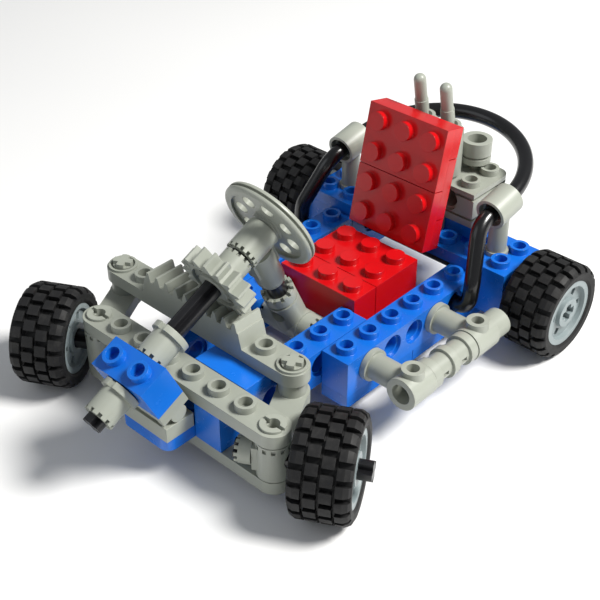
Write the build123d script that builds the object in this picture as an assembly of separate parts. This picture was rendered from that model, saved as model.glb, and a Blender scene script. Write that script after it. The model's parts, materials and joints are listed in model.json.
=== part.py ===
from build123d import *
import math
import os

os.makedirs("parts", exist_ok=True)

# ---------------------------------------------------------------- driving sizes, mm
P = 8.0                # stud pitch
BH = 9.6               # brick height
PH = 3.2               # plate height
STUD_R, STUD_H = 2.4, 1.7
STUD_IN = 1.6          # hollow stud bore radius
GAP = 0.1              # each moulded piece is this much smaller per side
WALL = 1.5             # brick side wall
HOLE_R = 2.45          # pin hole
CBORE_R, CBORE_D = 3.1, 0.9
AXLE_R, AXLE_W = 2.4, 1.8
HOLE_DROP = 4.0        # pin hole centre below a beam's top face

WHEELBASE = 84.0
AXLE_Z = -8.0          # all wheel centres, below the front top face
TYRE_R, TYRE_W = 12.2, 13.5
RIM_R = 8.55
TYRE_IN_FRONT = 5.3    # tyre inner face from the king pin
TYRE_IN_REAR = 33.2    # tyre inner face from the centre plane
KING_Y = 28.0          # king pin offset
ARM = 16.0             # steering arm length
STEER = 28.7           # wheels are turned this many degrees to the left at rest
COL_TILT = 24.8        # column above the horizontal
COL_Z0 = 10.64         # column axis height at the front axle line
SEAT_TILT = 13.1
SEAT_T = 6.4
HOSE_R = 2.0
HOOP_R = 23.9
RACK_Z = 0.1           # underside of the tie rod

# the shared origin is on the ground under the middle of the overall length
OX, OZ = WHEELBASE / 2.0 + 1.125, TYRE_R - AXLE_Z

SHAPES = {}


def put(name, *shapes):
    SHAPES[name] = list(shapes)


# ---------------------------------------------------------------- small builders
def bx(x0, x1, y0, y1, z0, z1):
    return Pos((x0 + x1) / 2, (y0 + y1) / 2, (z0 + z1) / 2) * Box(abs(x1 - x0), abs(y1 - y0), abs(z1 - z0))


def cz(x, y, z0, z1, r):
    return Pos(x, y, (z0 + z1) / 2) * Cylinder(r, z1 - z0)


def cy(x, z, y0, y1, r):
    return Pos(x, (y0 + y1) / 2, z) * Rot(90, 0, 0) * Cylinder(r, y1 - y0)


def cx(y, z, x0, x1, r):
    return Pos((x0 + x1) / 2, y, z) * Rot(0, 90, 0) * Cylinder(r, x1 - x0)


def stud(x, y, z, hollow):
    s = cz(x, y, z - 0.3, z + STUD_H, STUD_R)
    return s


def add_studs(body, studs, z, hollow):
    for (x, y) in studs:
        body = body + stud(x, y, z, hollow)
    if hollow:
        for (x, y) in studs:
            body = body - cz(x, y, z - 0.6, z + STUD_H + 0.1, STUD_IN)
    return body


def grid(x0, y0, nx, ny):
    return [(x0 + P * (i + 0.5), y0 + P * (j + 0.5)) for i in range(nx) for j in range(ny)]


def cavity(x0, y0, nx, ny, z0, depth):
    # open underside with tubes (two wide) or pegs (one wide)
    x1, y1 = x0 + nx * P, y0 + ny * P
    c = bx(x0 + GAP + WALL, x1 - GAP - WALL, y0 + GAP + WALL, y1 - GAP - WALL, z0 - 1, z0 + depth)
    if nx > 1 and ny > 1:
        for i in range(1, nx):
            for j in range(1, ny):
                c = c - (cz(x0 + i * P, y0 + j * P, z0, z0 + depth + 1, 3.2) - cz(x0 + i * P, y0 + j * P, z0 - 1, z0 + depth + 2, 2.45))
    else:
        for i in range(1, max(nx, ny)):
            px = x0 + (i * P if nx > 1 else P / 2)
            py = y0 + (i * P if ny > 1 else P / 2)
            c = c - cz(px, py, z0, z0 + depth + 1, 1.45)
    return c


def brick(x0, y0, nx, ny, z0, h, hollow=False, studs=None, open_under=True, corner=0.0):
    x1, y1 = x0 + nx * P, y0 + ny * P
    b = bx(x0 + GAP, x1 - GAP, y0 + GAP, y1 - GAP, z0, z0 + h)
    if corner:
        b = fillet(b.edges().filter_by(Axis.Z), corner)
    if open_under:
        b = b - cavity(x0, y0, nx, ny, z0, h - (1.0 if h < 4 else 1.3))
    return add_studs(b, grid(x0, y0, nx, ny) if studs is None else studs, z0 + h, hollow)


def holed_beam_x(x0, y0, n, ztop, hole_z=None, holes=None, boss=3.55):
    # one-wide beam along X, cross holes along Y between the studs, hollow studs
    x1, y1, z0 = x0 + n * P, y0 + P, ztop - BH
    hz = ztop - HOLE_DROP if hole_z is None else hole_z
    hs = [x0 + i * P for i in range(1, n)] if holes is None else holes
    b = bx(x0 + GAP, x1 - GAP, y0 + GAP, y1 - GAP, z0, ztop)
    c = bx(x0 + GAP + WALL, x1 - GAP - WALL, y0 + GAP + WALL, y1 - GAP - WALL, z0 - 1, ztop - 1.2)
    for h in hs:
        c = c - cy(h, hz, y0, y1, boss)
    b = b - c
    b = add_studs(b, grid(x0, y0, n, 1), ztop, True)
    for h in hs:
        b = b - cy(h, hz, y0 - 1, y1 + 1, HOLE_R)
        b = b - cy(h, hz, y0 + GAP - 0.5, y0 + GAP + CBORE_D, CBORE_R) - cy(h, hz, y1 - GAP - CBORE_D, y1 - GAP + 0.5, CBORE_R)
    return b


def cross(length, z0=0.0):
    # cross axle along local Z
    r = Cylinder(AXLE_R, length) & (Box(AXLE_W, 10, length) + Box(10, AXLE_W, length))
    return Pos(0, 0, z0 + length / 2) * r


def ring(r_out, r_in, z0, z1):
    return Pos(0, 0, (z0 + z1) / 2) * (Cylinder(r_out, z1 - z0) - Cylinder(r_in, z1 - z0 + 1))


def notched(r_out, z0, z1, n=16, w=0.75, r_in=2.6):
    # crown of small teeth at the end of a joint piece, along local Z
    c = None
    for i in range(n):
        t = Rot(0, 0, 360.0 * i / n) * Pos(r_out, 0, (z0 + z1) / 2) * Box(2.0, w, z1 - z0)
        c = t if c is None else c + t
    return c


# ---------------------------------------------------------------- front frame
front_y = [-20, -12, -4, 4, 12, 20]


def front_plate(z0):
    b = bx(-P / 2 + GAP, P / 2 - GAP, -KING_Y, KING_Y, z0, z0 + PH)
    for s in (-1, 1):
        b = b + cz(0, s * KING_Y, z0, z0 + PH, P / 2 - GAP)
    c = bx(-2.45, 2.45, -23.5, 23.5, z0 - 1, z0 + 2.2)
    for y in (-16, -8, 0, 8, 16):
        c = c - cz(0, y, z0 - 1, z0 + 3, 1.45)
    b = add_studs(b - c, [(0, y) for y in front_y], z0 + PH, True)
    for s in (-1, 1):
        b = b - cz(0, s * KING_Y, z0 - 1, z0 + PH + 1, HOLE_R)
    return b


put("front_upper_plate", front_plate(-PH))
put("front_lower_plate", front_plate(-16.0))


def king_pin(y, z0, z1, zhead, up):
    b = cz(0, y, z0, z1, 2.4)
    head = cz(0, y, zhead, zhead + 0.6, 2.9) - cz(0, y, zhead - 1, zhead + 2, 1.5)
    lo = zhead - 0.7 if up else zhead
    slot = bx(-0.45, 0.45, y - 4, y + 4, lo, lo + 1.3)
    return (b + head) - cz(0, y, z0 - 1, z1 + 1, 1.5) - slot


put("king_pins",
    king_pin(KING_Y, -5.0, 0.6, 0.0, True), king_pin(-KING_Y, -5.0, 0.6, 0.0, True),
    king_pin(KING_Y, -16.6, -11.0, -16.6, False), king_pin(-KING_Y, -16.6, -11.0, -16.6, False))

put("inner_beam_left", holed_beam_x(-44, 8, 6, -PH))
put("inner_beam_right", holed_beam_x(-44, -16, 6, -PH))
put("outer_beam_left", holed_beam_x(-76, 16, 6, -PH))
put("outer_beam_right", holed_beam_x(-76, -24, 6, -PH))
tile = bx(-12 + GAP, -4 - GAP, 0 + GAP, 16 - GAP, -PH, 0.0)
tile = tile - cavity(-12, 0, 1, 2, -PH, 2.2) - bx(-20, 0, 8.0 - 0.001, 16, -PH - 1, -PH)
put("guide_tile", tile)

put("side_plates",
    brick(-52, 16, 3, 1, -16, PH), brick(-52, -24, 3, 1, -16, PH),
    brick(-92, 16, 3, 1, -16, PH), brick(-92, -24, 3, 1, -16, PH))

# ---------------------------------------------------------------- nose and its hinge
nose_plate = bx(-4 + GAP, 12 - GAP, -8 + GAP, 8 - GAP, -12.8, -9.6)
nose_plate = fillet(nose_plate.edges().filter_by(Axis.Z).sort_by(Axis.X)[-2:], 2.5)
nose_plate = nose_plate - cavity(-4, -8, 2, 2, -12.8, 2.2)
nose_plate = add_studs(nose_plate, grid(-4, -8, 2, 2), -9.6, False)
put("nose_plate", nose_plate)

PIV = (8.0, -3.7)      # hinge pivot (X, Z)
base = bx(4 + GAP, 12 - GAP, -8 + GAP, 8 - GAP, -9.6, -5.9)
base = base + bx(6.2, 9.8, -6.1, 6.1, -6.2, PIV[1]) + cy(PIV[0], PIV[1], -6.1, 6.1, 1.8)
base = base - cavity(4, -8, 1, 2, -9.6, 2.6)
base = base + cy(PIV[0], PIV[1], -7.0, 7.0, 0.9)
put("hinge_base", base)

ct, st = math.cos(math.radians(COL_TILT)), math.sin(math.radians(COL_TILT))
D = (-ct, 0.0, st)               # along the column, up to the steering wheel
N = (-st, 0.0, -ct)              # square to the column, downwards


def col_pt(s, n=0.0, y=0.0):
    return (s * D[0] + n * N[0], y, COL_Z0 + s * D[2] + n * N[2])


def on_col(s, shape, n=0.0, y=0.0):
    # local Z along the column, local X straight out from it on the upper side, local Y = -Y
    return Plane(origin=col_pt(s, n, y), x_dir=(-N[0], 0, -N[2]), z_dir=D) * shape


def off_col(s, n0, shape):
    # local Z downwards, square to the column
    return Plane(origin=col_pt(s, n0), x_dir=(0, 1, 0), z_dir=N) * shape


def col_box(s0, s1, n0, n1, y0, y1):
    return Plane(origin=col_pt((s0 + s1) / 2, (n0 + n1) / 2, (y0 + y1) / 2), x_dir=D, z_dir=N) * Box(s1 - s0, y1 - y0, n1 - n0)


NS0, NS1 = -17.6, -9.6           # nose brick along the column
top = col_box(NS0 + GAP, NS1 - GAP, 5.6, 8.8, -8 + GAP, 8 - GAP)
for s in (-1, 1):
    top = top + cy(PIV[0], PIV[1], 6.3 if s > 0 else -7.9, 7.9 if s > 0 else -6.3, 2.1)
top = top - cy(PIV[0], PIV[1], -6.25, 6.25, 1.95) - cy(PIV[0], PIV[1], -7.1, 7.1, 1.0) - bx(3, 13, -6.25, 6.25, -9, PIV[1])
for y in (-4, 4):
    top = top + off_col((NS0 + NS1) / 2, 3.9, Pos(y, 0, 0.95) * Cylinder(STUD_R, 1.9))
put("hinge_top", top)

nb = col_box(NS0 + GAP, NS1 - GAP, -HOLE_DROP, 5.6, -8 + GAP, 8 - GAP)
nc = col_box(NS0 + GAP + WALL, NS1 - GAP - WALL, -HOLE_DROP + 1.2, 6.6, -8 + GAP + WALL, 8 - GAP - WALL)
nc = nc - on_col(NS0, Pos(0, 0, 4) * Cylinder(3.55, 10))
nb = nb - nc
for y in (-4, 4):
    nb = nb + off_col((NS0 + NS1) / 2, -HOLE_DROP - STUD_H, Pos(y, 0, 1.0) * Cylinder(STUD_R, 2.0))
    nb = nb - off_col((NS0 + NS1) / 2, -HOLE_DROP - STUD_H, Pos(y, 0, 1.1) * Cylinder(STUD_IN, 2.4))
nb = nb - on_col(NS0, Pos(0, 0, 4) * Cylinder(HOLE_R, 12))
nb = nb - on_col(NS0, Pos(0, 0, 0.5) * Cylinder(CBORE_R, 1.0)) - on_col(NS1, Pos(0, 0, -0.5) * Cylinder(CBORE_R, 1.0))
put("nose_brick", nb)

# ---------------------------------------------------------------- steering column
put("steering_axle", on_col(-27.5, cross(59.5)))


def bush(s, flip):
    # full bush: toothed crown at one end, wide flange at the other
    b = ring(3.6, 2.42, 0, 7.7) + ring(4.45, 2.42, 0, 1.5) - notched(3.6, 6.9, 7.8, 10, 0.9)
    b = b - Pos(4.45, 0, 0.7) * Box(1.6, 1.6, 1.7) - Pos(-4.45, 0, 0.7) * Box(1.6, 1.6, 1.7)
    if flip:
        b = Pos(0, 0, 7.7) * Rot(180, 0, 0) * b
    return on_col(s, b)


put("column_bushes", bush(-25.5, True), bush(-9.4, True))

# 16-tooth pinion, module 1
GEAR_T, GEAR_S, GEAR_W = 16, 11.7, 4.1
PHI0 = ARM * math.sin(math.radians(STEER)) / (GEAR_T / 2.0)


def gear_section():
    pts = []
    for i in range(GEAR_T):
        a = 2 * math.pi * i / GEAR_T
        for (r, half) in ((6.85, 0.98), (8.0, 0.60), (8.95, 0.30)):
            pts.append((r, a - half / r))
        for (r, half) in ((8.95, 0.30), (8.0, 0.60), (6.85, 0.98)):
            pts.append((r, a + half / r))
    return [(r * math.cos(t), r * math.sin(t)) for r, t in pts]


gw = make_face(Polyline(*gear_section(), close=True))
gear = extrude(gw, GEAR_W)
gear = gear - Pos(0, 0, -0.1) * Cylinder(2.42, 20)
gear = gear - ring(5.9, 3.9, -1, 0.7) - ring(5.9, 3.9, GEAR_W - 0.7, GEAR_W + 1)
for i in range(6):
    gear = gear - Rot(0, 0, 60 * i + 30) * Pos(4.9, 0, 0) * Cylinder(0.8, 20)
# local +X of on_col is the upper side: a tooth centred on -X points at the rack when straight
gear = Rot(0, 0, 180 + math.degrees(PHI0)) * gear
put("pinion_gear", on_col(GEAR_S, gear))


def half_bush_local(h=3.9, r=3.6, crown=True):
    b = ring(r, 2.42, 0, h)
    if crown:
        b = b - notched(r, h - 0.8, h + 0.1, 12, 0.8)
    return b


put("gear_half_bush", on_col(GEAR_S + GEAR_W + 0.1, half_bush_local(4.6) + ring(4.2, 2.42, 0, 1.1)))

# steering wheel: flat rim, eight round windows, conical hub below
WS = 29.9
sw = ring(12.1, 2.42, 0, 2.7)
sw = sw - Pos(0, 0, -0.5) * (Cylinder(9.9, 2.2) - Cylinder(4.0, 2.2))
sw = sw - Pos(0, 0, 2.9) * (Cylinder(9.9, 1.4) - Cylinder(3.6, 1.4))
for i in range(8):
    sw = sw - Rot(0, 0, 45 * i + 22.5) * Pos(7.3, 0, 1.3) * Cylinder(1.75, 8)
sw = fillet(sw.edges().filter_by(GeomType.CIRCLE).filter_by(lambda e: abs(e.radius - 12.1) < 0.01), 0.9)
sw = sw - ring(13.0, 11.3, 1.03, 1.67)
sw = sw + (Pos(0, 0, 0.3) * (Cone(3.3, 4.4, 1.6)) - Cylinder(2.42, 8))
put("steering_wheel", on_col(WS, sw))

# ---------------------------------------------------------------- column strut
STR_S, AXX = 25.2, -36.0          # strut centre along the column; cross axle position in the beams
SZ = -PH - HOLE_DROP
up = ring(3.95, HOLE_R, -4.0, 4.0)
up = up - notched(3.95, -4.1, -3.2, 14, 0.8)
strut_up = on_col(STR_S, up)
tube = off_col(STR_S, 0, Pos(0, 0, 8.0) * Cylinder(3.4, 9.4))
tube = tube + off_col(STR_S, 0, Pos(0, 0, 12.3) * Sphere(3.4))
tube = tube + off_col(STR_S, 0, Pos(0, 0, 5.5) * Box(3.2, 7.2, 7.0))
strut_up = (strut_up + tube) - on_col(STR_S - 10, Pos(0, 0, 10) * Cylinder(HOLE_R, 40))
strut_up = strut_up - off_col(STR_S, 0, Pos(0, 0, 14.5) * Cylinder(2.45, 9.0))
put("strut_connector_upper", strut_up)
put("strut_pin", off_col(STR_S, 0, Pos(0, 0, 16.6) * (Cylinder(2.4, 12.4) - Cylinder(1.4, 13) - Pos(0, 0, 5.4) * Box(0.8, 8, 2.6) - Pos(0, 0, -5.4) * Box(0.8, 8, 2.6))))
SL = 31.3                          # column axis to cross axle
lo = off_col(STR_S, 0, Pos(0, 0, (17.6 + SL) / 2) * Cylinder(3.95, SL - 17.6))
lo = lo + cy(AXX, SZ, -3.9, 3.9, 4.0)
lo = lo - cy(AXX, SZ, -5, 5, 2.42) - off_col(STR_S, 0, Pos(0, 0, 20.2) * Cylinder(2.45, 7.0))
lo = lo - off_col(STR_S, 0, Pos(0, 0, 17.6) * Cylinder(3.1, 1.6))
lo = lo - Plane(origin=col_pt(STR_S, 24.2), z_dir=(ct, 0, -st)) * Pos(0, 0, 2.6) * Cylinder(2.3, 4.2)
lo = lo - off_col(STR_S, 0, notched(3.95, 17.5, 18.5, 12, 0.8)) - off_col(STR_S, 0, ring(5.0, 3.45, 20.6, 21.3))
put("strut_connector_lower", lo)
put("strut_axle", Pos(AXX, -23.6, SZ) * Rot(-90, 0, 0) * cross(39.4))
hb = Pos(0, 0, 0) * half_bush_local(3.7, 3.9)
put("strut_half_bushes", Pos(AXX, 4.0, SZ) * Rot(-90, 0, 0) * hb, Pos(AXX, -4.0, SZ) * Rot(90, 0, 0) * hb)

# ---------------------------------------------------------------- steering hubs, turned STEER degrees
th = math.radians(STEER)


def hub_frame(side):
    # local frame of a hub: local Y outwards for the left hub, X forwards
    return Pos(0, side * KING_Y, 0) * Rot(0, 0, STEER)


def hub(side):
    b = cz(0, 0, -12.6, -3.4, 3.9)
    b = b + bx(-ARM, 0, -3.6, 3.6, -6.5, -3.5) + cz(-ARM, 0, -6.5, -3.5, 3.8)
    b = b + cz(-ARM, 0, -3.6, -0.2, 3.2) + cz(-ARM, 0, -0.3, 4.9, 2.4)
    cr = cz(-ARM, 0, 3.9, 6, 5) & (bx(-ARM - 0.9, -ARM + 0.9, -5, 5, 3.8, 6) + bx(-ARM - 5, -ARM + 5, -0.9, 0.9, 3.8, 6))
    b = b - (cz(-ARM, 0, 3.9, 6, 5) - cr)
    b = b - cz(0, 0, -5.1, -3.0, HOLE_R) - cz(0, 0, -13, -10.9, HOLE_R)
    b = b - cy(0, AXLE_Z, -6, 6, HOLE_R)
    # grip notches round the upper rim
    for i in range(12):
        b = b - Rot(0, 0, 30 * i + 15) * Pos(3.9, 0, -4.4) * Box(0.9, 0.85, 1.0)
    b = b + bx(-2.6, 2.6, -side * 4.15, -side * 2.5, -11.0, -5.0) - cy(0, AXLE_Z, -6, 6, HOLE_R)
    return hub_frame(side) * b


put("hub_left", hub(1))
put("hub_right", hub(-1))

# ---------------------------------------------------------------- tie rod with rack, in its turned position
RX, RY = -ARM * math.cos(th), -ARM * math.sin(th)
tr = bx(-P / 2 + GAP, P / 2 - GAP, -KING_Y, KING_Y, 0, PH)
for s in (-1, 1):
    tr = tr + cz(0, s * KING_Y, 0, PH, P / 2 - GAP)
tr = tr - bx(-2.45, 2.45, -14, 14, -1, 2.2)
tr = add_studs(tr, [(0, -20), (0, 20)], PH, True)
plateau = make_face(Polyline((-16.4, PH - 0.2), (16.4, PH - 0.2), (15.4, 7.1), (-15.4, 7.1), close=True))
plateau = Pos(P / 2 - GAP, 0, 0) * Rot(0, 0, 90) * Rot(90, 0, 0) * extrude(plateau, P - 2 * GAP)
PITCH = math.pi
rt = None
for k in range(-5, 5):
    yc = (k + 0.5) * PITCH
    t = make_face(Polyline((yc - 0.98, 7.0), (yc + 0.98, 7.0), (yc + 0.60, 8.3), (yc + 0.30, 9.3), (yc - 0.30, 9.3), (yc - 0.60, 8.3), close=True))
    t = Pos(P / 2 - GAP, 0, 0) * Rot(0, 0, 90) * Rot(90, 0, 0) * extrude(t, P - 2 * GAP)
    plateau = plateau + t
bb = plateau.bounding_box()
plateau = Pos(-(bb.min.X + bb.max.X) / 2, 0, 0) * plateau
tr = tr + plateau
for s in (-1, 1):
    tr = tr - cz(0, s * KING_Y, -1, PH + 1, 2.47)
    tr = tr + (cz(0, s * KING_Y, PH - 0.1, PH + 0.6, 3.5) - cz(0, s * KING_Y, PH - 1, PH + 2, 2.9))
put("tie_rod_rack", Pos(RX, RY, RACK_Z) * tr)

# ---------------------------------------------------------------- wheels (local Z is the outward axle direction, z=0 tyre inner face)


def rim_local():
    # drum with both faces nearly flush, a ring recess in each and six slots through; cross hole at the outer end
    w = TYRE_W
    prof = Polyline((2.42, 0.9), (3.7, 0.9), (3.7, 1.7), (6.9, 1.7), (7.2, 0.8), (RIM_R, 0.8), (RIM_R, w - 0.6),
                    (7.1, w - 0.6), (6.8, w - 1.7), (3.9, w - 1.7), (3.7, w - 0.7), (2.42, w - 0.7), close=True)
    r = revolve(Plane.XZ * make_face(prof), Axis.Z)
    r = r + Pos(0, 0, w - 2.2) * (Cylinder(2.6, 3.0) - Box(2 * AXLE_R + 0.15, AXLE_W + 0.15, 4) - Box(AXLE_W + 0.15, 2 * AXLE_R + 0.15, 4))
    for i in range(6):
        r = r - Rot(0, 0, 60 * i) * Pos(5.3, 0, 7) * Box(1.7, 1.5, 20)
    return r


def tyre_local():
    w = TYRE_W
    prof = Polyline((RIM_R + 0.01, 0.6), (9.2, 0.1), (10.6, 0.0), (11.6, 0.5), (TYRE_R, 1.6), (TYRE_R, w - 1.6), (11.6, w - 0.5),
                    (10.6, w), (9.2, w - 0.1), (RIM_R + 0.01, w - 0.6), close=True)
    t = revolve(Plane.XZ * make_face(prof), Axis.Z)
    n = 20
    cut = []
    for row, (z0, z1) in enumerate(((-0.5, 3.2), (3.8, 6.45), (7.05, 9.7), (10.3, w + 0.5))):
        for i in range(n):
            a = 360.0 / n * (i + (0.5 if row % 2 else 0.0))
            cut.append(Rot(0, 0, a) * Pos(TYRE_R, 0, (z0 + z1) / 2) * Box(2.8, 1.35, z1 - z0))
    t = t - cut
    for z in (3.5, 6.75, 10.0):
        t = t - ring(TYRE_R + 1, TYRE_R - 1.2, z - 0.31, z + 0.31)
    return t


RIM, TYRE = rim_local(), tyre_local()


def wheel_place(side, front, shape, z=0.0):
    # outward axle direction
    if front:
        base = Pos(0, side * KING_Y, AXLE_Z) * Rot(0, 0, STEER)
        off = TYRE_IN_FRONT
    else:
        base = Pos(-WHEELBASE, 0, AXLE_Z)
        off = TYRE_IN_REAR
    return base * Pos(0, side * (off + z), 0) * (Rot(-90, 0, 0) if side > 0 else Rot(90, 0, 0)) * shape


for side, nm in ((1, "left"), (-1, "right")):
    put("front_tyre_" + nm, wheel_place(side, True, TYRE))
    put("front_rim_" + nm, wheel_place(side, True, RIM))
    put("front_axle_" + nm, wheel_place(side, True, cross(29.6), -13.6))
    put("front_bush_" + nm, wheel_place(side, True, Pos(0, 0, 3.6) * Rot(180, 0, 0) * half_bush_local(3.6, 3.05), -13.2))
put("rear_tyres", wheel_place(1, False, TYRE), wheel_place(-1, False, TYRE))
put("rear_rims", wheel_place(1, False, RIM), wheel_place(-1, False, RIM))
put("rear_axle", Pos(-WHEELBASE, -44.4, AXLE_Z) * Rot(-90, 0, 0) * cross(88.8))

# ---------------------------------------------------------------- rear frame
rc = bx(-92 + GAP, -76 - GAP, -32 + GAP, 32 - GAP, -PH, 0)
rcav = bx(-92 + GAP + WALL, -76 - GAP - WALL, -32 + GAP + WALL, 32 - GAP - WALL, -PH - 1, -1.0)
for j in range(1, 8):
    rcav = rcav - cz(-84, -32 + j * P, -PH - 1, 0, 3.2)
rc = add_studs(rc - rcav, grid(-92, -32, 2, 8), 0.0, True)
for j in range(1, 8):
    rc = rc - cz(-84, -32 + j * P, -PH - 1, 1, HOLE_R)
put("rear_cross_plate", rc)


def axle_brick(y0):
    return holed_beam_x(-92, y0, 2, -PH, hole_z=AXLE_Z, holes=[-84], boss=3.05)


put("axle_bricks", axle_brick(16), axle_brick(24), axle_brick(-24), axle_brick(-32))

# ---------------------------------------------------------------- seat
sc = brick(-68, -24, 2, 6, -16, PH)
put("seat_cross_plate", sc)
put("seat_jumpers", brick(-68, -8, 1, 2, -12.8, PH, False, [(-64, 0)]), brick(-60, -8, 1, 2, -12.8, PH, False, [(-56, 0)]))
put("seat_cushion_rear", brick(-68, -12, 2, 3, -BH, BH))
put("seat_cushion_front", brick(-52, -12, 1, 3, -BH, BH))

sa = math.radians(SEAT_TILT)
UP = (-math.sin(sa), 0.0, math.cos(sa))
BK = (-math.cos(sa), 0.0, -math.sin(sa))
SO = (-69.5, 1.0)                # front bottom edge of the back rest (X, Z)


def seat_pt(u, b, y=0.0):
    return (SO[0] + u * UP[0] + b * BK[0], y, SO[1] + u * UP[2] + b * BK[2])


def seat_box(u0, u1, b0, b1, y0, y1):
    return Plane(origin=seat_pt((u0 + u1) / 2, (b0 + b1) / 2, (y0 + y1) / 2), x_dir=UP, z_dir=BK) * Box(u1 - u0, y1 - y0, b1 - b0)


def seat_cyl(u, y, b0, b1, r):
    return Plane(origin=seat_pt(u, (b0 + b1) / 2, y), x_dir=UP, z_dir=BK) * Cylinder(r, b1 - b0)


def seat_plate(u0, nu, b0, studs=True, ny=3, y0=-12.0):
    u1 = u0 + nu * P
    y1 = y0 + ny * P
    b = seat_box(u0 + GAP, u1 - GAP, b0, b0 + PH, y0 + GAP, y1 - GAP)
    c = seat_box(u0 + GAP + WALL, u1 - GAP - WALL, b0 + 1.0, b0 + PH + 1, y0 + GAP + WALL, y1 - GAP - WALL)
    if nu > 1:
        for j in range(1, ny):
            c = c - seat_cyl(u0 + P, y0 + j * P, b0, b0 + PH + 2, 3.2)
    b = b - c
    for i in range(nu):
        for j in range(ny):
            b = b + seat_cyl(u0 + P * (i + 0.5), y0 + P * (j + 0.5), b0 - STUD_H, b0 + 0.3, STUD_R)
    return b


put("seat_back_lower", seat_plate(0, 2, 0))
put("seat_back_upper", seat_plate(16, 2, 0))
put("seat_back_ties", seat_plate(8, 2, PH), seat_plate(24, 1, PH))
leaf = seat_plate(0, 1, PH, ny=3)
kx, _, kz = seat_pt(4.2, PH + PH + 1.5)
leaf = leaf + cy(kx, kz, -3.8, 3.8, 1.5) + seat_box(2.9, 5.5, PH + 0.7, PH + PH + 1.5, -3.8, 3.8)
leaf = leaf - cy(kx, kz, -9, 9, 0.85)
put("seat_hinge_leaf", leaf)
hbse = bx(-84 + GAP, -77.6, -8 + GAP, 8 - GAP, 0.0, PH)
for s in (-1, 1):
    hbse = hbse + bx(kx - 1.3, kx + 1.3, s * 6.0 - 1.9, s * 6.0 + 1.9, PH - 0.3, kz) + cy(kx, kz, s * 6.0 - 1.9, s * 6.0 + 1.9, 1.5)
for y in (-4, 4):
    hbse = hbse - cz(-80, y, -1, STUD_H + 0.1, STUD_R + 0.02)
hbse = hbse - bx(-80.2, -77.0, -3.95, 3.95, 1.6, 5.2)
hbse = hbse + cy(kx, kz, -7.0, 7.0, 0.8)
put("seat_hinge_base", hbse)

# ---------------------------------------------------------------- engine
put("engine_base_plate", brick(-100, -16, 2, 4, 0, PH))
eb = bx(-100 + GAP, -84 - GAP, -8 + GAP, 16 - GAP, PH, PH + BH)
eb = fillet(eb.edges().filter_by(Axis.Z).sort_by(Axis.X)[:2], 3.0)
eb = eb - cavity(-100, -8, 2, 3, PH, 3.0)
eb = add_studs(eb, [(-88, 12), (-96, 12), (-88, 4), (-88, -4), (-96, -4), (-96, 4)], PH + BH, True)
for y in (0, 8):
    eb = eb - cx(y, 8.8, -90.5, -80, HOLE_R) - cx(y, 8.8, -84 - GAP - CBORE_D, -80, CBORE_R)
# fin grooves round the block
for z in (5.4, 11.2):
    eb = eb - (bx(-101, -80, -9, 17, z - 0.35, z + 0.35) - bx(-99.2, -84.8, -7.2, 15.2, z - 1, z + 1))
eb = eb - cz(-96, 7.4, 9.0, 15, 1.62)
put("engine_block", eb)


def round_brick(x, y, z0):
    b = cz(x, y, z0, z0 + BH, 3.9) - cz(x, y, z0 - 1, z0 + 2.2, 2.45)
    b = b - (cz(x, y, z0 + 0.0, z0 + 0.9, 5) - cz(x, y, z0 - 1, z0 + 2, 3.2))
    return add_studs(b, [(x, y)], z0 + BH, True)


put("engine_round_bricks", round_brick(-88, 4, 12.8), round_brick(-88, -4, 12.8))
LZ = 25.4                        # lever pivot height


def lever_base(x, y, z0):
    b = cz(x, y, z0, z0 + PH, 3.9) + cz(x, y, z0 + PH - 0.1, z0 + PH + 1.5, 3.1)
    b = b - cz(x, y, z0 - 1, z0 + 1.75, 2.45)
    b = b - Pos(x, y, LZ) * Sphere(2.0)
    b = b - Pos(x, y, LZ + 1.6) * Cone(1.6, 2.75, 3.2)
    return b


put("lever_bases", lever_base(-88, 4, 22.4), lever_base(-88, -4, 22.4))
LEAN = 11.0


def lever(x, y):
    b = Sphere(1.93) + Pos(0, 0, 6.0) * Cylinder(1.55, 12.0) + Pos(0, 0, 12.0) * Sphere(1.55) + Pos(0, 0, 4.6) * Cylinder(1.75, 3.4)
    return Pos(x, y, LZ) * Rot(0, LEAN, 0) * b


put("lever_left", lever(-88, 4))
put("lever_right", lever(-88, -4))

cap = cz(-96, 7.4, 9.2, 15.4, 1.6) + cz(-96, 7.4, 15.0, 21.0, 3.9)
cap = cap - cz(-96, 7.4, 17.2, 22, 2.45)
cap = cap - (cz(-96, 7.4, 16.6, 17.2, 5) - cz(-96, 7.4, 16, 18, 3.4))
put("engine_cap", cap)

# ---------------------------------------------------------------- hoop hose and its two clips
HT = math.radians(11.5)
HU = (-math.cos(HT), 0.0, math.sin(HT))       # rearwards and slightly up
HC = (-86.8, 0.0, 14.1)
clips = []
for s in (1, -1):
    o = (HC[0] - 3.4 * HU[0], s * HOOP_R, HC[2] - 3.4 * HU[2])
    r = Plane(origin=o, x_dir=(0, 1, 0), z_dir=HU) * (Cylinder(4.0, 8.0))
    r = r + cz(-84, s * 24, 0.0, 12.6, 2.4) + cz(-84, s * 24, 0.0, 1.0, 2.95) + cz(-84, s * 24, -3.0, 0.2, 2.42)
    r = r - Plane(origin=o, x_dir=(0, 1, 0), z_dir=HU) * Cylinder(2.45, 12.0)
    r = r - Plane(origin=o, x_dir=(0, 1, 0), z_dir=HU) * Pos(0, 0, -4) * Cylinder(3.2, 3.2)
    clips.append(r)
put("hose_clips", *clips)

HX = -68.0
YL = 27.7
left = [(HX, 16.8, SZ), (HX, YL, SZ), (HX - 1.0, YL, -0.6), (HC[0] - 11.6 * HU[0], HOOP_R, HC[2] - 11.6 * HU[2]), (HC[0], HOOP_R, HC[2])]
RADII = (3.1, 6.0, 7.0)


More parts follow.
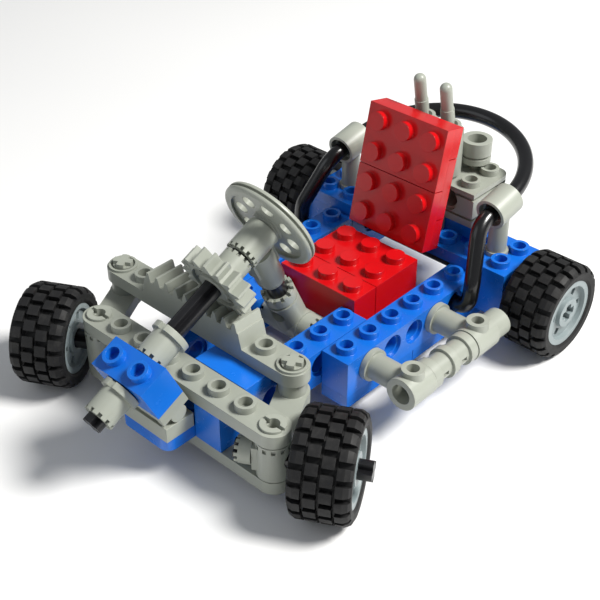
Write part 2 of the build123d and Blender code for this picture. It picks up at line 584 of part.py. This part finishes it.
def fillet_pts(pts, radii):
    # straight runs joined by tangent arcs
    out, cur = [], Vector(*pts[0])
    for i in range(1, len(pts) - 1):
        a, b, c = Vector(*pts[i - 1]), Vector(*pts[i]), Vector(*pts[i + 1])
        u, v = (b - a).normalized(), (c - b).normalized()
        ang = math.acos(max(-1, min(1, u.dot(v))))
        t = radii[i - 1] * math.tan(ang / 2)
        p0, p1 = b - u * t, b + v * t
        bis = (v - u).normalized()
        cen = b + bis * (radii[i - 1] / math.cos(ang / 2))
        mid = cen + (b - cen).normalized() * radii[i - 1]
        out.append(Line(cur, p0))
        out.append(ThreePointArc(p0, mid, p1))
        cur = p1
    out.append(Line(cur, Vector(*pts[-1])))
    return out


el = fillet_pts(left, RADII)
right_pts = [(x, -y, z) for (x, y, z) in reversed(left)]
er = fillet_pts(right_pts, tuple(reversed(RADII)))
top_pt = (HC[0] + HOOP_R * HU[0], 0.0, HC[2] + HOOP_R * HU[2])
hoop = ThreePointArc(Vector(*left[-1]), Vector(*top_pt), Vector(*right_pts[0]))
path = Wire(el + [hoop] + er)
hose = sweep(Plane(origin=left[0], z_dir=(0, 1, 0)) * (Circle(HOSE_R) - Circle(HOSE_R - 0.8)), path=path)
HOSE_LEN = path.length
put("hoop_hose", hose)

# ---------------------------------------------------------------- exhaust on the left side
EY = 36.0


def exhaust_joint(x):
    b = cx(EY, SZ, x - 4, x + 4, 4.0)
    b = b + cy(x, SZ, 24.2, EY - 1, 3.2) + cy(x, SZ, 24.0, 25.4, 3.95) + cy(x, SZ, 16.6, 24.6, 2.42)
    b = b + cz(x, EY, SZ, SZ + 5.2, 2.7)
    b = b - cy(x, SZ, 16, 21, 1.5) - bx(x - 0.4, x + 0.4, 16, 19.4, SZ - 4, SZ + 4)
    b = b - cx(EY, SZ, x - 5, x + 5, HOLE_R) - cz(x, EY, SZ, SZ + 8, 1.5)
    return b


put("exhaust_joints", exhaust_joint(-36), exhaust_joint(-60))
ec = cx(EY, SZ, -55.8, -40.2, 3.1) + cx(EY, SZ, -42.6, -40.2, 3.8) + cx(EY, SZ, -55.8, -53.4, 3.8) + cx(EY, SZ, -49.0, -47.0, 3.8)
ec = ec + cx(EY, SZ, -58.6, -37.4, 2.42)
ec = ec - cx(EY, SZ, -60, -35, 1.5)
for x in (-44.6, -51.4):
    ec = ec - bx(x - 0.9, x + 0.9, EY - 5, EY + 5, SZ - 0.5, SZ + 0.5)
put("exhaust_coupling", ec)
tail = cx(EY, SZ, -69.0, -64.2, 3.5) + cx(EY, SZ, -64.3, -61.2, 2.42) - cx(EY, SZ, -70, -60, 1.6) - cx(EY, SZ, -70, -67.0, 2.6)
put("exhaust_tail", tail)

# ---------------------------------------------------------------- write the nodes
for name, shapes in SHAPES.items():
    solids = []
    for s in shapes:
        solids += [Pos(OX, 0, OZ) * x for x in s.solids()]
    if len(solids) == 1:
        out = solids[0]
    else:
        out = Compound(children=solids)
    out.label = name
    export_step(out, "parts/" + name + ".step")
print(len(SHAPES), "nodes; hose length", round(HOSE_LEN, 1))
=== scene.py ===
import json
import math

import bpy
from mathutils import Matrix, Vector


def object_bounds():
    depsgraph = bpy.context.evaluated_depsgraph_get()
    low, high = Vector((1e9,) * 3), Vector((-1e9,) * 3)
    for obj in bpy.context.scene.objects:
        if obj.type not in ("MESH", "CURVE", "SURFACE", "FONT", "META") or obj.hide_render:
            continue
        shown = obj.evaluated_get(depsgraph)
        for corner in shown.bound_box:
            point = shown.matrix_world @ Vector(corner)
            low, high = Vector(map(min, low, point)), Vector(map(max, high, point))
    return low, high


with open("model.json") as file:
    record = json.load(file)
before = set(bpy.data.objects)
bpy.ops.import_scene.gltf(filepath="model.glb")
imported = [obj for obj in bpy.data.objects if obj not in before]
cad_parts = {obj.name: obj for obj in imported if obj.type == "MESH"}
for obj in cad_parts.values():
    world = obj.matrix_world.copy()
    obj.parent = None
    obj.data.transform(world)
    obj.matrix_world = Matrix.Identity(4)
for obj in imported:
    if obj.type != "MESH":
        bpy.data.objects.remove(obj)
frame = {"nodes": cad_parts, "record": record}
cad_lo, cad_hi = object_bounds()
scene = bpy.context.scene


def lin(r, g, b):
    # 8-bit display colour to linear
    out = []
    for v in (r, g, b):
        v = v / 255.0
        out.append(v / 12.92 if v <= 0.04045 else ((v + 0.055) / 1.055) ** 2.4)
    return (out[0], out[1], out[2], 1.0)


def shade(c, k):
    return (min(1.0, c[0] * k), min(1.0, c[1] * k), min(1.0, c[2] * k), 1.0)


# ---------------------------------------------------------------- materials
def plastic(name, colour, rough, spec=0.5, ior=1.53, vary=0.06, mottle=900.0, grain=0.00001, edge=0.00016, wear=0.0, coat=0.0, dust=0.0, dust_colour=(0.5, 0.48, 0.44, 1.0)):
    """Moulded plastic: slight clouding of the colour, handling marks in the gloss, fine surface grain, softened edges and rubbed high edges."""
    m = bpy.data.materials.new(name)
    m.use_nodes = True
    nt = m.node_tree
    nt.nodes.clear()
    N, L = nt.nodes.new, nt.links.new
    out = N("ShaderNodeOutputMaterial")
    bsdf = N("ShaderNodeBsdfPrincipled")
    L(bsdf.outputs["BSDF"], out.inputs["Surface"])
    tc = N("ShaderNodeTexCoord")

    cloud = N("ShaderNodeTexNoise")
    cloud.inputs["Scale"].default_value = 95.0
    cloud.inputs["Detail"].default_value = 3.0
    cloud.inputs["Roughness"].default_value = 0.55
    L(tc.outputs["Object"], cloud.inputs["Vector"])
    fine = N("ShaderNodeTexNoise")
    fine.inputs["Scale"].default_value = mottle
    fine.inputs["Detail"].default_value = 2.0
    L(tc.outputs["Object"], fine.inputs["Vector"])

    ramp = N("ShaderNodeValToRGB")
    ramp.color_ramp.elements[0].position = 0.30
    ramp.color_ramp.elements[1].position = 0.72
    ramp.color_ramp.elements[0].color = shade(colour, 1.0 - vary)
    ramp.color_ramp.elements[1].color = shade(colour, 1.0 + vary)
    L(cloud.outputs["Fac"], ramp.inputs["Fac"])
    last = ramp.outputs["Color"]

    if wear > 0.0:
        geo = N("ShaderNodeNewGeometry")
        edge_ramp = N("ShaderNodeValToRGB")
        edge_ramp.color_ramp.elements[0].position = 0.53
        edge_ramp.color_ramp.elements[1].position = 0.62
        edge_ramp.color_ramp.elements[0].color = (0, 0, 0, 1)
        edge_ramp.color_ramp.elements[1].color = (wear, wear, wear, 1)
        L(geo.outputs["Pointiness"], edge_ramp.inputs["Fac"])
        mix = N("ShaderNodeMix")
        mix.data_type = "RGBA"
        L(edge_ramp.outputs["Color"], mix.inputs[0])
        L(last, mix.inputs[6])
        mix.inputs[7].default_value = shade(colour, 1.6)
        last = mix.outputs[2]
    if dust > 0.0:
        patch = N("ShaderNodeTexNoise")
        patch.inputs["Scale"].default_value = 210.0
        patch.inputs["Detail"].default_value = 5.0
        patch.inputs["Roughness"].default_value = 0.7
        L(tc.outputs["Object"], patch.inputs["Vector"])
        pr = N("ShaderNodeValToRGB")
        pr.color_ramp.elements[0].position = 0.52
        pr.color_ramp.elements[1].position = 0.85
        pr.color_ramp.elements[0].color = (0, 0, 0, 1)
        pr.color_ramp.elements[1].color = (dust, dust, dust, 1)
        L(patch.outputs["Fac"], pr.inputs["Fac"])
        mix2 = N("ShaderNodeMix")
        mix2.data_type = "RGBA"
        L(pr.outputs["Color"], mix2.inputs[0])
        L(last, mix2.inputs[6])
        mix2.inputs[7].default_value = dust_colour
        last = mix2.outputs[2]
    L(last, bsdf.inputs["Base Color"])

    # fine rubbing marks in the gloss: noise stretched along one diagonal
    mp = N("ShaderNodeMapping")
    mp.inputs["Rotation"].default_value = (0.5, 0.3, 0.8)
    mp.inputs["Scale"].default_value = (1.0, 1.8, 1.4)
    L(tc.outputs["Object"], mp.inputs["Vector"])
    marks = N("ShaderNodeTexNoise")
    marks.inputs["Scale"].default_value = 240.0
    marks.inputs["Detail"].default_value = 6.0
    marks.inputs["Roughness"].default_value = 0.65
    L(mp.outputs["Vector"], marks.inputs["Vector"])
    rr = N("ShaderNodeMapRange")
    rr.inputs["From Min"].default_value = 0.35
    rr.inputs["From Max"].default_value = 0.70
    rr.inputs["To Min"].default_value = rough * 0.92
    rr.inputs["To Max"].default_value = min(1.0, rough * 1.14)
    L(marks.outputs["Fac"], rr.inputs["Value"])
    L(rr.outputs["Result"], bsdf.inputs["Roughness"])

    bev = N("ShaderNodeBevel")
    bev.samples = 4
    bev.inputs["Radius"].default_value = edge
    bump = N("ShaderNodeBump")
    bump.inputs["Strength"].default_value = 0.35
    bump.inputs["Distance"].default_value = grain
    L(fine.outputs["Fac"], bump.inputs["Height"])
    L(bev.outputs["Normal"], bump.inputs["Normal"])
    L(bump.outputs["Normal"], bsdf.inputs["Normal"])
    bsdf.inputs["IOR"].default_value = ior
    bsdf.inputs["Specular IOR Level"].default_value = spec
    bsdf.inputs["Coat Weight"].default_value = coat
    bsdf.inputs["Coat Roughness"].default_value = 0.12
    return m


MATS = {
    "blue_plastic": plastic("kart_blue", lin(16, 102, 200), 0.25, wear=0.30, vary=0.035),
    "red_plastic": plastic("kart_red", lin(194, 12, 18), 0.24, wear=0.25, vary=0.035),
    "grey_plastic": plastic("kart_grey", lin(152, 156, 146), 0.36, wear=0.15, vary=0.04, dust=0.06),
    "black_plastic": plastic("kart_black", lin(20, 20, 23), 0.30, vary=0.10, wear=0.10),
    "rim_plastic": plastic("kart_rim", lin(128, 139, 141), 0.36, wear=0.15, vary=0.04),
    "tyre_rubber": plastic("kart_tyre", lin(21, 21, 22), 0.62, spec=0.4, ior=1.45, vary=0.12, mottle=1500.0, grain=0.00006, edge=0.00014, wear=0.25, dust=0.05),
    "hose_rubber": plastic("kart_hose", lin(12, 12, 14), 0.24, vary=0.08, grain=0.00002, coat=0.15),
}
slot_of = {s["node"]: s["material_slot"] for s in frame["record"]["subparts"]}
for name, ob in frame["nodes"].items():
    ob.data.materials.clear()
    ob.data.materials.append(MATS[slot_of[name]])

# ---------------------------------------------------------------- floor, light
lo, hi = cad_lo, cad_hi
bpy.ops.mesh.primitive_plane_add(size=6.0, location=((lo.x + hi.x) / 2, (lo.y + hi.y) / 2, lo.z - 0.00005))
floor = bpy.context.object
floor.name = "floor"
fm = bpy.data.materials.new("floor")
fm.use_nodes = True
fb = fm.node_tree.nodes["Principled BSDF"]
ft = fm.node_tree.nodes.new("ShaderNodeTexCoord")
fn = fm.node_tree.nodes.new("ShaderNodeTexNoise")
fn.inputs["Scale"].default_value = 6.0
fr = fm.node_tree.nodes.new("ShaderNodeValToRGB")
fr.color_ramp.elements[0].color = (0.80, 0.80, 0.80, 1)
fr.color_ramp.elements[1].color = (0.86, 0.86, 0.86, 1)
fm.node_tree.links.new(ft.outputs["Object"], fn.inputs["Vector"])
fm.node_tree.links.new(fn.outputs["Fac"], fr.inputs["Fac"])
fm.node_tree.links.new(fr.outputs["Color"], fb.inputs["Base Color"])
fb.inputs["Roughness"].default_value = 0.85
fb.inputs["Specular IOR Level"].default_value = 0.1
floor.data.materials.append(fm)

world = bpy.data.worlds.new("studio")
scene.world = world
world.use_nodes = True
bg = world.node_tree.nodes["Background"]
bg.inputs["Color"].default_value = (0.93, 0.96, 1.0, 1)
bg.inputs["Strength"].default_value = 0.28


def area(name, where, target, size, watts, colour=(1, 1, 1)):
    d = bpy.data.lights.new(name, "AREA")
    d.shape = "DISK"
    d.size = size
    d.energy = watts
    d.color = colour
    o = bpy.data.objects.new(name, d)
    scene.collection.objects.link(o)
    o.location = where
    o.rotation_mode = "QUATERNION"
    o.rotation_quaternion = (Vector(target) - Vector(where)).to_track_quat("-Z", "Y")
    return o


area("key", (-0.22, 0.42, 0.62), (0, 0, 0.02), 0.26, 9.2, (1.0, 0.985, 0.95))
area("fill", (0.55, -0.30, 0.45), (0, 0, 0.02), 0.60, 0.7, (0.92, 0.96, 1.0))

# ---------------------------------------------------------------- camera
cam_data = bpy.data.cameras.new("camera")
cam = bpy.data.objects.new("camera", cam_data)
scene.collection.objects.link(cam)
cam.matrix_world = Matrix((
    (-0.6870454, -0.4231919, 0.5906583, 0.1709334),
    (0.7265682, -0.3909400, 0.5650350, 0.1553400),
    (-0.0082062, 0.8173582, 0.5760713, 0.1822787),
    (0.0, 0.0, 0.0, 1.0),
))
cam_data.sensor_fit = "HORIZONTAL"
cam_data.sensor_width = 36.0
cam_data.lens = 70.5463
cam_data.shift_x = 0.01738
cam_data.shift_y = -0.02396
cam_data.clip_start = 0.01
cam_data.clip_end = 20.0
scene.camera = cam
scene.view_settings.view_transform = "Standard"
